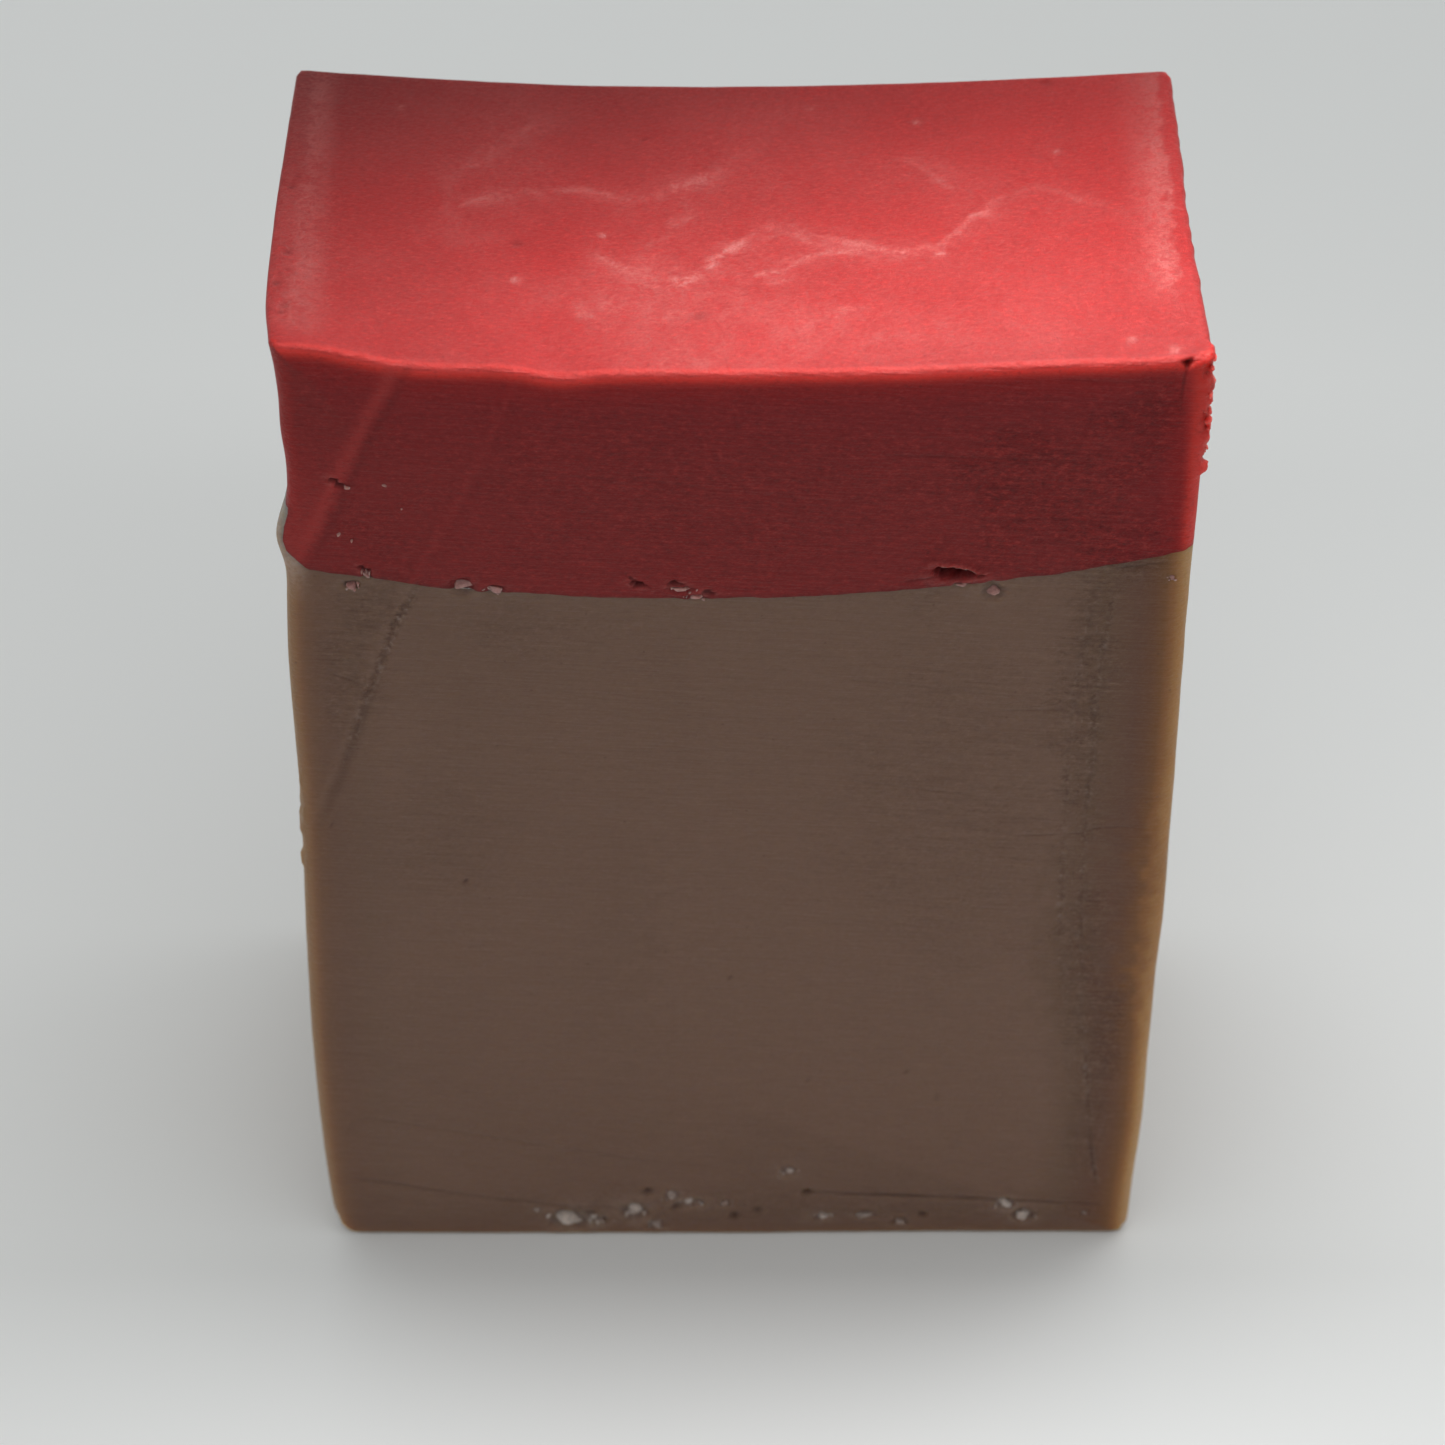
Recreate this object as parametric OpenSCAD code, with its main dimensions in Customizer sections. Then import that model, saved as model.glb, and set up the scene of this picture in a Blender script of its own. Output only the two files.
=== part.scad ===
// Hand-cut two-layer soap bar, standing on the face that lay on the mould floor.
// Frame: origin at the centre of the foot, +X across the mould, +Y from the front
// cut face to the back cut face, +Z up. Millimetres.

/* [Bar] */
// Width across the mould
bar_w = 57; // [50:0.5:70]
// Thickness of the slice, from cut face to cut face
bar_d = 33; // [24:0.5:45]
// Height at the side rims
bar_h = 76.6; // [72:0.2:90]
// How far the poured top dips below the side rims
top_dip = 1.2; // [0.4:0.1:3]

/* [Seam between the two pours] */
// Lowest height of the seam
seam_low = 58; // [40:0.5:64]
// Radius of the bowl that the seam follows
seam_r = 130; // [100:5:300]
// Sideways place of the lowest point of the seam
seam_shift = -3; // [-6:0.5:6]
// Height of the thin smear that the base left on one side wall
lip_h = 4.2; // [1:0.2:6]
// Thickness of that smear
lip_t = 0.45; // [0.3:0.05:0.8]

/* [Edges] */
// Radius of the bottom corner on the left
foot_r_left = 2.2; // [0.6:0.1:3]
// Radius of the bottom corner on the right
foot_r_right = 0.9; // [0.6:0.1:3]
// Bevel of the upright cut edges
edge_bevel = 0.7; // [0.3:0.1:1.5]
// Width of the one upright edge that was pared wider, front right
pared_w = 1.9; // [1:0.1:3]
// Depth of that pared edge
pared_d = 1.1; // [0.5:0.1:2]
// Bevel of the front and back edges of the poured top
rim_bevel = 0.45; // [0.2:0.05:1]
// Bevel of the front and back edges of the foot
foot_bevel = 0.35; // [0.2:0.05:0.8]

/* [Grains] */
// How much of a front grain stands out of the cut face, as a share of its size
proud = 0.12; // [0:0.02:0.3]
// Number of grains buried in the seam
buried_seam = 12; // [4:1:24]
// Number of grains buried in the foot
buried_foot = 16; // [4:1:30]
// Number of grains that the back cut face exposes on the seam, and again at the foot
back_grains = 5; // [2:1:10]

/* [Hidden] */

$fn = 180;
eps = 0.01;
half_w = bar_w / 2;
half_d = bar_d / 2;
front = -half_d;
back = half_d;
// Radius of the arc that joins both side rims and dips between them
top_r = (half_w * half_w + top_dip * top_dip) / (2 * top_dip);

base_colour = [0.45, 0.34, 0.27];
top_colour = [0.80, 0.26, 0.24];
grain_colour = [0.86, 0.82, 0.76];

// Grains that the front cut face shows on the seam: [x, height above the seam, size]
seam_spots = [
    [-24.4, -0.8, 0.9], [-23.4, 0.2, 0.8], [-17.4, 0.2, 1.3], [-15.4, 0.1, 1.0],
    [-3.6, 0.7, 0.9], [-2.6, 0.1, 0.8], [14.0, 0, 0.8], [16.1, -0.8, 1.2], [27.3, -1.9, 0.6]
];
// Grains that the front cut face shows near the foot: [x, z, size]
foot_spots = [
    [-13.9, 2.5, 0.7], [-11.5, 1.5, 1.8], [-9.4, 1.5, 1.0], [-7.0, 2.4, 1.5], [-5.3, 1.0, 0.9],
    [-4.2, 4.0, 1.1], [-2.7, 3.3, 1.1], [-0.4, 3.2, 0.7], [4.0, 6.4, 1.0], [6.6, 1.8, 1.2],
    [9.7, 1.9, 0.9], [12.1, 1.2, 1.0], [19.6, 3.0, 1.3], [21.0, 1.9, 1.1], [25.3, 2.1, 0.7]
];
// Small flecks low in the left of the top layer: [x, z, size]
fleck_spots = [
    [-24.3, 66.6, 0.5], [-22.0, 66.8, 0.6], [-25.0, 63.0, 0.5], [-24.2, 62.5, 0.4], [-21.0, 65.0, 0.4]
];
// Crumbs dragged over the pared edge by the cut: [z, size]
crumb_spots = [[75.6, 0.8], [73.9, 0.9], [72.2, 0.7], [70.9, 0.9], [68.8, 0.6]];

// Height of the seam at x
function seam_z(x) = seam_low + seam_r - sqrt(seam_r * seam_r - (x - seam_shift) * (x - seam_shift));

// A repeatable number from low to high for item i of a set
function pick(low, high, i, set) = rands(low, high, i + 1, set)[i];

// Plan of the bar: a rectangle with its four upright edges bevelled, one of them wider
module plan_outline() {
    polygon([
        [-half_w + edge_bevel, front], [half_w - pared_w, front], [half_w, front + pared_d],
        [half_w, back - edge_bevel], [half_w - edge_bevel, back],
        [-half_w + edge_bevel, back], [-half_w, back - edge_bevel], [-half_w, front + edge_bevel]
    ]);
}

// Extrudes a front-view outline through the thickness of the bar
module through_bar() {
    rotate([90, 0, 0])
        translate([0, 0, -half_d])
            linear_extrude(height = bar_d)
                children();
}

// Area above the seam, in the front view
module seam_bowl() {
    translate([seam_shift, seam_low + seam_r])
        circle(r = seam_r, $fn = 256);
}

// Smear of base soap up the left wall, in the front view
module lip_outline() {
    wall_z = seam_z(-half_w);
    polygon([[-half_w, wall_z - 1], [-half_w + lip_t + 1, wall_z - 1], [-half_w, wall_z + lip_h]]);
}

// Front view of the base layer
module base_outline() {
    difference() {
        translate([-half_w, 0])
            square([bar_w, bar_h]);
        seam_bowl();
        foot_corner(-1, foot_r_left);
        foot_corner(1, foot_r_right);
    }
    intersection() {
        lip_outline();
        seam_bowl();
    }
}

// Material outside one rounded bottom corner of this radius, side is -1 or 1
module foot_corner(side, radius) {
    difference() {
        translate([side * half_w, 0])
            square(2 * radius, center = true);
        translate([side * (half_w - radius), radius])
            circle(r = radius, $fn = 64);
        translate([side > 0 ? 0 : -half_w + radius, -radius])
            square([half_w - radius, 3 * radius]);
        translate([-half_w - eps, radius])
            square([bar_w + 2 * eps, radius]);
    }
}

// Front view of the top layer
module top_outline() {
    difference() {
        intersection() {
            translate([-half_w, seam_low])
                square([bar_w, bar_h - seam_low]);
            seam_bowl();
        }
        lip_outline();
    }
}

// Cutter for the poured top: one long arc through the bar, flared at both cut faces
module top_cutter() {
    translate([0, 0, bar_h - top_dip + top_r])
        rotate([90, 0, 0]) {
            cylinder(r = top_r, h = bar_d + 2, center = true, $fn = 256);
            for (side = [0, 1])
                mirror([0, 0, side])
                    translate([0, 0, half_d - rim_bevel])
                        cylinder(r1 = top_r, r2 = top_r + 2 * rim_bevel, h = 2 * rim_bevel, $fn = 256);
        }
}

// Cutters for the front and back edges of the foot
module foot_cutter() {
    for (y = [front, back])
        translate([0, y, 0])
            rotate([45, 0, 0])
                cube([bar_w + 2, foot_bevel * sqrt(2), foot_bevel * sqrt(2)], center = true);
}

// One grain: two cubes crossed at odd angles, so that it has uneven flat faces
module grain(size, i) {
    intersection() {
        rotate([pick(0, 90, i, 11), pick(0, 90, i, 12), pick(0, 90, i, 13)])
            cube(size, center = true);
        rotate([pick(0, 90, i, 14), pick(0, 90, i, 15), pick(0, 90, i, 16)])
            cube(1.1 * size, center = true);
    }
}

// Depth at which a grain of this size stands out of the front face by its proud share
function front_y(size) = front + (0.5 - proud) * size;

// A grain that the back cut face shaved flush
module back_grain(x, z, size, i) {
    intersection() {
        translate([x, back - 0.3 * size, z])
            grain(size, i);
        translate([x, back - size, z])
            cube(2 * size, center = true);
    }
}

// Grains in the seam: those that each cut face shows, and those buried between the layers
module seam_grain_set() {
    for (i = [0:len(seam_spots) - 1]) {
        spot = seam_spots[i];
        translate([spot[0], front_y(spot[2]), seam_z(spot[0]) + spot[1]])
            grain(spot[2], i);
    }
    for (i = [0:buried_seam - 1]) {
        x = -half_w + bar_w * (i + 0.5) / buried_seam;
        translate([x, pick(front + 4, back - 4, i, 21), seam_z(x)])
            grain(pick(0.8, 1.4, i, 22), i + 40);
    }
    for (i = [0:back_grains - 1]) {
        x = -half_w + bar_w * (i + pick(0.3, 0.7, i, 23)) / back_grains;
        back_grain(x, seam_z(x), pick(0.8, 1.3, i, 24), i + 60);
    }
}

// Grains that settled near the foot, shown by the cut faces or buried
module foot_grain_set() {
    for (i = [0:len(foot_spots) - 1]) {
        spot = foot_spots[i];
        translate([spot[0], front_y(spot[2]), spot[1]])
            grain(spot[2], i + 80);
    }
    for (i = [0:buried_foot - 1]) {
        x = -half_w + 2 + (bar_w - 4) * (i + 0.5) / buried_foot;
        translate([x, pick(front + 4, back - 4, i, 31), pick(1.6, 3.4, i, 32)])
            grain(pick(0.7, 1.5, i, 33), i + 120);
    }
    for (i = [0:back_grains - 1]) {
        x = -half_w + bar_w * (i + pick(0.3, 0.7, i, 34)) / back_grains;
        back_grain(x, pick(1.6, 3.2, i, 36), pick(0.8, 1.4, i, 35), i + 140);
    }
}

// Small flecks in the front face of the top layer
module fleck_set() {
    for (i = [0:len(fleck_spots) - 1]) {
        spot = fleck_spots[i];
        translate([spot[0], front_y(spot[2]), spot[1]])
            grain(spot[2], i + 160);
    }
}

// Crumbs of top soap that the cut dragged over the pared edge
module crumb_set() {
    for (i = [0:len(crumb_spots) - 1]) {
        spot = crumb_spots[i];
        translate([half_w - 0.15 * spot[1], front + pared_d + 0.2, spot[0]])
            grain(spot[1], i + 180);
    }
}

module base_layer() {
    color(base_colour)
        difference() {
            intersection() {
                through_bar() base_outline();
                linear_extrude(height = bar_h) plan_outline();
            }
            foot_cutter();
            seam_grain_set();
            foot_grain_set();
        }
}

module top_layer() {
    color(top_colour)
        difference() {
            intersection() {
                through_bar() top_outline();
                linear_extrude(height = bar_h) plan_outline();
            }
            top_cutter();
            seam_grain_set();
            fleck_set();
            crumb_set();
        }
}

module seam_grains() {
    color(grain_colour) seam_grain_set();
}

module foot_grains() {
    color(grain_colour) foot_grain_set();
}

module top_flecks() {
    color(grain_colour) fleck_set();
}

module edge_crumbs() {
    color(top_colour) crumb_set();
}

base_layer();
top_layer();
seam_grains();
foot_grains();
top_flecks();
edge_crumbs();
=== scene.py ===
"""Looks of a hand-cut bar of soap: a brown pour, a red pour with an ash-veined top, and cast-in grains.
Shapes are worked out in millimetres and turned into metres when a mesh is made."""

import math
from types import SimpleNamespace

import bmesh
import bpy
import numpy as np
from mathutils import Matrix, Vector


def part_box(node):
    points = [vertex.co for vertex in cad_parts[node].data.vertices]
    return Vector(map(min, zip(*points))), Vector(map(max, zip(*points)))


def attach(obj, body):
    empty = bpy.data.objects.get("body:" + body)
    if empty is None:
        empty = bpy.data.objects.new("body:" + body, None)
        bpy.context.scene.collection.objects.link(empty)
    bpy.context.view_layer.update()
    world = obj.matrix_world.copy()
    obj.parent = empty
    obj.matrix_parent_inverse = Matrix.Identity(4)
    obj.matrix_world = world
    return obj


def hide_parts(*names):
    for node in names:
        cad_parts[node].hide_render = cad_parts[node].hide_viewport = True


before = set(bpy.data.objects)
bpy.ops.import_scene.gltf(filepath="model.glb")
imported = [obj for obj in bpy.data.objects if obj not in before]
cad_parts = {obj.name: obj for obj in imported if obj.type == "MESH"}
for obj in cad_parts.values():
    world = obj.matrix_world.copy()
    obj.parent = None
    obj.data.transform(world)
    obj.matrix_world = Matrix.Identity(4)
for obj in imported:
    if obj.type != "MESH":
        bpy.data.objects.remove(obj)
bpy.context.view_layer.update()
put_in_scene = bpy.context.scene.collection.objects.link

# ---- sizes, in millimetres
MM = 0.001
base_low, base_high = [np.array(corner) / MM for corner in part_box("base_layer")]
top_low, top_high = [np.array(corner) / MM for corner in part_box("top_layer")]
HALF_W = base_high[0]
FRONT = base_low[1]
BACK = base_high[1]
HALF_D = BACK
SEAM_LOW = top_low[2]
RIM = top_high[2]
DEPTH = BACK - FRONT

# Bowl that the seam follows: its radius and the sideways place of its lowest point
SEAM_RADIUS = 130.0
SEAM_SHIFT = -3.0

# Radii of the edges
CUT_EDGE = 0.8
RIM_EDGE = 0.55
FOOT_EDGE = 0.4
CORNER_LEFT = 2.2
CORNER_RIGHT = 0.9
TOP_SIDE = 0.7

# How far each side wall stands out from the mould's plane, by height
LEFT_WALL = ((0, -0.4), (4, 0.05), (8, 0.3), (15, 0.5), (27, 0.45), (40, 0.15), (55, 0.2), (59, 0.0),
             (62, -0.1), (65.2, -0.38), (68, -0.45), (70, -0.3), (73, -0.3), (75, -0.15), (77, 0.15))
RIGHT_WALL = ((0, 0.05), (5, 0.2), (11, 0.45), (17, 0.4), (24, 0.45), (31, 0.58), (41, 0.4), (55, 0.15),
              (63, 0.05), (69, 0.05), (72, 0.15), (77, 0.2))
# Width of the pared upright edge, front right, by height
PARED_WIDTH = ((0, 1.3), (18, 1.3), (28, 2.0), (36, 2.0), (46, 1.5), (60, 1.3), (63, 0.9), (69, 1.0),
               (74, 1.5), (77, 1.8))
# Height of the poured top against the rims, along its front edge and its back edge
TOP_FRONT = ((-28.5, 0.4), (-26, 0.3), (-23.6, -0.2), (-21.5, -0.65), (-19, -0.9), (-14, -1.0),
             (-11, -1.45), (-8.5, -1.2), (0, -1.1), (12, -0.9), (18, -0.6), (25, -0.25), (28.5, 0))
TOP_BACK = ((-28.5, 0.3), (-20, -0.35), (-10, -0.85), (0, -0.9), (10, -0.7), (20, -0.2), (28.5, 0.35))

# ---- numeric helpers
PRIMES = np.array([73856093, 19349663, 83492791])
NOISE_TABLE = 8191


def ramp(value, low, high):
    """0 up to low, 1 from high, a smooth step between."""
    part = np.clip((value - low) / (high - low), 0.0, 1.0)
    return part * part * (3.0 - 2.0 * part)


def hump(value, width):
    """A bell: 1 where value is 0, falling off over this width."""
    return np.exp(-((value / width) ** 2))


def curve(place, points):
    """Smooth line through (place, value) points, level beyond its ends."""
    xs, ys = np.array(points, float).T
    slopes = np.gradient(ys, xs)
    place = np.clip(place, xs[0], xs[-1])
    i = np.clip(np.searchsorted(xs, place) - 1, 0, len(xs) - 2)
    gap = xs[i + 1] - xs[i]
    part = (place - xs[i]) / gap
    start = (1 + 2 * part) * (1 - part) ** 2 * ys[i] + part * (1 - part) ** 2 * gap * slopes[i]
    end = part**2 * (3 - 2 * part) * ys[i + 1] + part**2 * (part - 1) * gap * slopes[i + 1]
    return start + end


def noise(size, seed, *axes):
    """Smooth noise from -1 to 1 with lumps of this size, at places given by two or three axes."""
    table = np.random.default_rng(seed).uniform(-1.0, 1.0, NOISE_TABLE)
    cells = np.stack(np.broadcast_arrays(*axes), axis=-1) / size
    low = np.floor(cells).astype(np.int64)
    part = cells - low
    part = part * part * (3.0 - 2.0 * part)
    total = 0.0
    for corner in np.ndindex(*(2,) * len(axes)):
        keys = (low + np.array(corner)) * PRIMES[: len(axes)]
        key = np.bitwise_xor.reduce(keys, axis=-1) % NOISE_TABLE
        total = total + np.prod(np.where(corner, part, 1.0 - part), axis=-1) * table[key]
    return total


def rough(size, seed, *axes, octaves=3):
    """Noise with finer and fainter lumps added."""
    layers = [noise(size / 2**k, seed + k, *axes) / 2**k for k in range(octaves)]
    return sum(layers) / sum(0.5**k for k in range(octaves))


def line_gap(x, y, line):
    """Distance to a line of points, how far along it from 0 to 1, and how far to its left."""
    best = np.full(x.shape, np.inf)
    along = np.zeros(x.shape)
    side = np.zeros(x.shape)
    for k, ((x0, y0), (x1, y1)) in enumerate(zip(line, line[1:])):
        dx, dy = x1 - x0, y1 - y0
        length = math.hypot(dx, dy)
        part = np.clip(((x - x0) * dx + (y - y0) * dy) / length**2, 0.0, 1.0)
        gap = np.hypot(x - x0 - part * dx, y - y0 - part * dy)
        nearer = gap < best
        best = np.where(nearer, gap, best)
        along = np.where(nearer, (k + part) / (len(line) - 1), along)
        side = np.where(nearer, (dx * (y - y0) - dy * (x - x0)) / length, side)
    return best, along, side


def left_of(x, z, line):
    """How far places lie to the left of a line that falls from top right to bottom left."""
    zs = [point[1] for point in line][::-1]
    xs = [point[0] for point in line][::-1]
    return np.interp(z, zs, xs) - x


# ---- the bar's large shape
def seam_height(x, y):
    """Height of the seam: a bowl, the smear up the left wall, and small waves."""
    bowl = SEAM_LOW + SEAM_RADIUS - np.sqrt(SEAM_RADIUS**2 - (x - SEAM_SHIFT) ** 2)
    smear = 1.2 * ramp(-x, HALF_W - 1.6, HALF_W - 0.4) + 3.2 * ramp(-x, HALF_W - 0.55, HALF_W)
    waves = 0.1 * noise(2.2, 11, x, y) + 0.06 * noise(0.8, 12, x, y)
    return bowl + smear * (1.0 + 0.25 * noise(5.0, 13, y, 0 * y)) + waves


def top_height(x, y):
    """Height of the poured top, higher at the rims and uneven at the cut."""
    nearness = np.exp(-(y - FRONT) / 5.0)
    face = nearness * curve(x, TOP_FRONT) + (1.0 - nearness) * curve(x, TOP_BACK)
    waves = 0.07 * rough(9.0, 21, x, y) + 0.015 * noise(1.6, 24, x, y)
    return RIM + face + waves


def round_corner(a, b, a_edge, b_edge, a_radius, b_radius):
    """Bends a rectangle's corner at (a_edge, b_edge) onto an ellipse, and what is inside with it."""
    a_side, b_side = np.sign(a_edge), np.sign(b_edge)
    a_in, b_in = a_edge - a_side * a_radius, b_edge - b_side * b_radius
    da = np.maximum(a_side * (a - a_in) / a_radius, 0.0)
    db = np.maximum(b_side * (b - b_in) / b_radius, 0.0)
    reach = np.hypot(da, db)
    inside = (da > 0) & (db > 0)
    squeeze = np.where(inside, np.maximum(da, db) / np.where(reach > 0, reach, 1.0), 1.0)
    a_new = np.where(inside, a_in + a_side * a_radius * da * squeeze, a)
    b_new = np.where(inside, b_in + b_side * b_radius * db * squeeze, b)
    return a_new, b_new


def plan_wave(y, z):
    """How far the left and right walls bow out through the bar."""
    middle = 1.0 - (y / HALF_D) ** 2
    left = 0.2 * middle + 0.5 * ramp(y, FRONT - 2.0, FRONT + 7.0) * ramp(z, 66.0, 75.0)
    left += 0.6 * hump(z - 62.4, 1.8) * ramp(-y, -FRONT - 5.0, -FRONT - 1.0)
    right = 0.25 * ramp(y, 0.0, 6.0) - 0.2 * middle
    return left, right


def shape(x, y, share, top):
    """Turns places in a sharp box into places on the bar, by their share of the layer's height."""
    z_mid = (RIM + SEAM_LOW) / 2.0
    if top:
        low, high = seam_height(x, y), top_height(x, y)
        nominal = SEAM_LOW + share * (RIM - SEAM_LOW)
        for side in (-1, 1):
            x, h = round_corner(x, nominal - z_mid, side * HALF_W, RIM - z_mid, TOP_SIDE, TOP_SIDE)
            nominal = h + z_mid
        for edge in (FRONT, BACK):
            y, h = round_corner(y, nominal - z_mid, edge, RIM - z_mid, RIM_EDGE, RIM_EDGE)
            nominal = h + z_mid
        z = low + (nominal - SEAM_LOW) / (RIM - SEAM_LOW) * (high - low)
    else:
        high = seam_height(x, y)
        nominal = share * SEAM_LOW
        for side, radius in ((-1, CORNER_LEFT), (1, CORNER_RIGHT)):
            x, h = round_corner(x, nominal - z_mid, side * HALF_W, -z_mid, radius, radius)
            nominal = h + z_mid
        for edge in (FRONT, BACK):
            y, h = round_corner(y, nominal - z_mid, edge, -z_mid, FOOT_EDGE, FOOT_EDGE)
            nominal = h + z_mid
        z = nominal / SEAM_LOW * high
    pared = curve(z, PARED_WIDTH) * (1.0 + 0.12 * noise(2.5, 31, z, 0 * z))
    x, y = round_corner(x, y, HALF_W, FRONT, pared, 0.65 * pared)
    for side, edge in ((-1, FRONT), (-1, BACK), (1, BACK)):
        x, y = round_corner(x, y, side * HALF_W, edge, CUT_EDGE, CUT_EDGE)
    left, right = plan_wave(y, z)
    left = left + curve(z, LEFT_WALL)
    right = right + curve(z, RIGHT_WALL)
    across = (x / HALF_W + 1.0) / 2.0
    return np.stack([x - left * (1.0 - across) ** 3 + right * across**3, y, z], axis=-1)


# ---- marks on the front cut face
# Steps that the wire left where it paused, as (x, z) points from the top down
STEP_LEFT = ((-19.9, 76.5), (-20.5, 75.2), (-22.3, 71.5), (-23.9, 68.1), (-25.5, 64.2), (-26.9, 61.1),
             (-27.3, 60.0))
STEP_RIGHT = ((-12.6, 76.0), (-17.0, 65.6), (-19.2, 61.0), (-21.8, 55.9), (-24.5, 47.8), (-26.2, 42.6),
              (-27.8, 38.8))
# Each step with its drop, and how fast the face goes on falling to the left of it
STEPS = ((STEP_LEFT, 0.1, 0.035), (STEP_RIGHT, 0.08, 0.01))
# Fine lines that the wire scratched, as (points, depth, how far they break up into pits from 0 to 1)
LINES = (
    (((22.5, 59.2), (22.3, 57.0), (22.0, 53.0), (21.7, 48.0), (21.6, 44.0), (21.7, 40.0), (22.0, 29.2),
      (22.7, 23.5), (23.3, 16.0)), 0.45, 1.0),
    (((23.8, 59.2), (23.4, 55.0), (23.0, 50.2), (23.2, 46.0), (23.1, 40.0), (23.2, 33.0), (23.8, 23.6),
      (24.4, 18.0)), 0.55, 1.0),
    (((24.4, 18.0), (24.8, 14.8), (25.2, 10.3)), 0.8, 0.7),
    (((25.2, 10.3), (25.5, 8.0), (26.2, 4.3)), 1.0, 0.4),
    (((-19.6, 60.0), (-21.8, 55.9), (-22.9, 52.5), (-23.9, 49.8), (-24.5, 47.8), (-25.4, 45.0)), 0.8, 0.9),
    (((18.8, 38.1), (23.0, 38.3), (23.7, 38.7), (26.3, 38.9)), 0.6, 0.2),
    (((17.0, 48.8), (22.5, 48.9)), 0.5, 0.3),
    (((7.2, 51.4), (20.2, 49.7)), 0.25, 0.2),
    (((7.5, 42.9), (18.0, 41.2)), 0.25, 0.2),
    (((8.6, 69.2), (22.2, 68.7)), 0.4, 0.0),
    (((-6.0, 67.2), (4.0, 65.8), (9.0, 65.4)), 0.25, 0.0),
    (((19.5, 74.9), (26.0, 74.6)), 0.4, 0.3),
    (((27.2, 76.3), (26.9, 75.2), (26.8, 73.0)), 0.5, 0.0),
    (((-25.9, 51.7), (-24.1, 51.0)), 0.5, 0.0),
    (((-27.2, 9.8), (-26.6, 11.6), (-25.4, 11.8), (-16.3, 9.8), (-6.5, 7.6), (-2.0, 7.1)), 0.4, 0.3),
    (((-27.0, 5.8), (-19.3, 4.2), (-12.2, 3.0), (-8.0, 2.8)), 0.6, 0.2),
    (((5.4, 4.3), (12.0, 3.9), (19.0, 3.5), (26.4, 3.0)), 0.95, 0.0),
    (((-6.9, 59.7), (-6.4, 59.25), (-5.7, 58.9)), 1.0, 0.0),
    (((10.4, 59.3), (12.2, 59.7)), 0.8, 0.0),
    (((24.0, 60.45), (26.6, 60.85)), 0.8, 0.3),
)
LINE_REACH = 1.5
# Torn hollows as (x, height above the seam, half width, half height, depth, lean)
TEARS = (
    (13.6, 0.95, 1.45, 0.46, 1.0, -0.22),
    (-6.3, 1.05, 0.55, 0.2, 0.45, -0.45),
    (-3.9, 1.15, 0.55, 0.16, 0.35, 0.05),
    (-1.9, 0.45, 0.5, 0.14, 0.25, 0.0),
    (-23.5, 0.55, 0.5, 0.16, 0.25, -0.3),
    (-24.9, 7.0, 0.6, 0.18, 0.3, -0.35),
)
# Small pits as (x, z, radius, depth); the first is the nick in the top edge
PITS = ((27.1, 76.1, 0.4, 0.6), (-10.2, 2.2, 0.4, 0.4), (-5.9, 4.4, 0.45, 0.4), (-3.9, 2.9, 0.45, 0.25),
        (5.5, 4.3, 0.4, 0.5), (13.75, 1.9, 0.35, 0.3), (0.3, 2.0, 0.5, 0.2), (1.9, 2.5, 0.4, 0.2),
        (-19.0, 41.9, 0.18, 0.15), (-18.0, 34.1, 0.18, 0.2), (-26.6, 39.2, 0.25, 0.12),
        (-0.3, 25.1, 0.15, 0.12), (14.3, 13.7, 0.22, 0.2), (12.0, 16.2, 0.16, 0.12), (5.3, 15.5, 0.18, 0.12))
# Patches where the wire dragged and roughened the soap, as (x, z, half width, half height, strength)
PATCHES = (
    (22.4, 50.0, 2.2, 11.0, 0.9), (22.3, 41.2, 0.9, 1.4, 1.3), (21.5, 29.2, 1.0, 0.5, 1.1),
    (25.6, 21.5, 1.6, 5.0, 1.2), (23.6, 26.0, 1.8, 9.0, 0.8), (25.0, 12.0, 1.6, 6.0, 0.8),
    (18.5, 67.0, 6.0, 6.0, 1.1), (24.0, 62.5, 3.0, 3.0, 0.9), (25.0, 72.0, 2.0, 4.0, 0.9),
    (14.0, 40.0, 7.0, 16.0, 0.4), (-25.0, 52.0, 2.4, 6.0, 0.7), (-23.0, 57.0, 2.0, 2.6, 0.7),
    (-23.5, 63.5, 2.5, 2.5, 0.5), (-14.0, 55.5, 6.0, 2.4, 0.35), (-19.0, 38.0, 5.0, 8.0, 0.25),
    (2.0, 3.0, 22.0, 1.8, 0.45), (2.0, 66.0, 24.0, 8.0, 0.35),
)


FACE_MASKS = ("pale", "dent", "coarse", "ridge", "etch", "dotted")


def add_patches(marks, x, z):
    """Soap that the wire dragged and roughened."""
    for patch_x, patch_z, half_x, half_z, strength in PATCHES:
        reach = np.hypot((x - patch_x) / half_x, (z - patch_z) / half_z) + 0.35 * noise(2.0, 50, x, z)
        marks.coarse += strength * (1.0 - ramp(reach, 0.4, 1.3))
    grit = 0.02 * noise(0.9, 56, x, z) + 0.022 * noise(0.5, 57, x, z)
    marks.height += marks.coarse * grit


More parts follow.
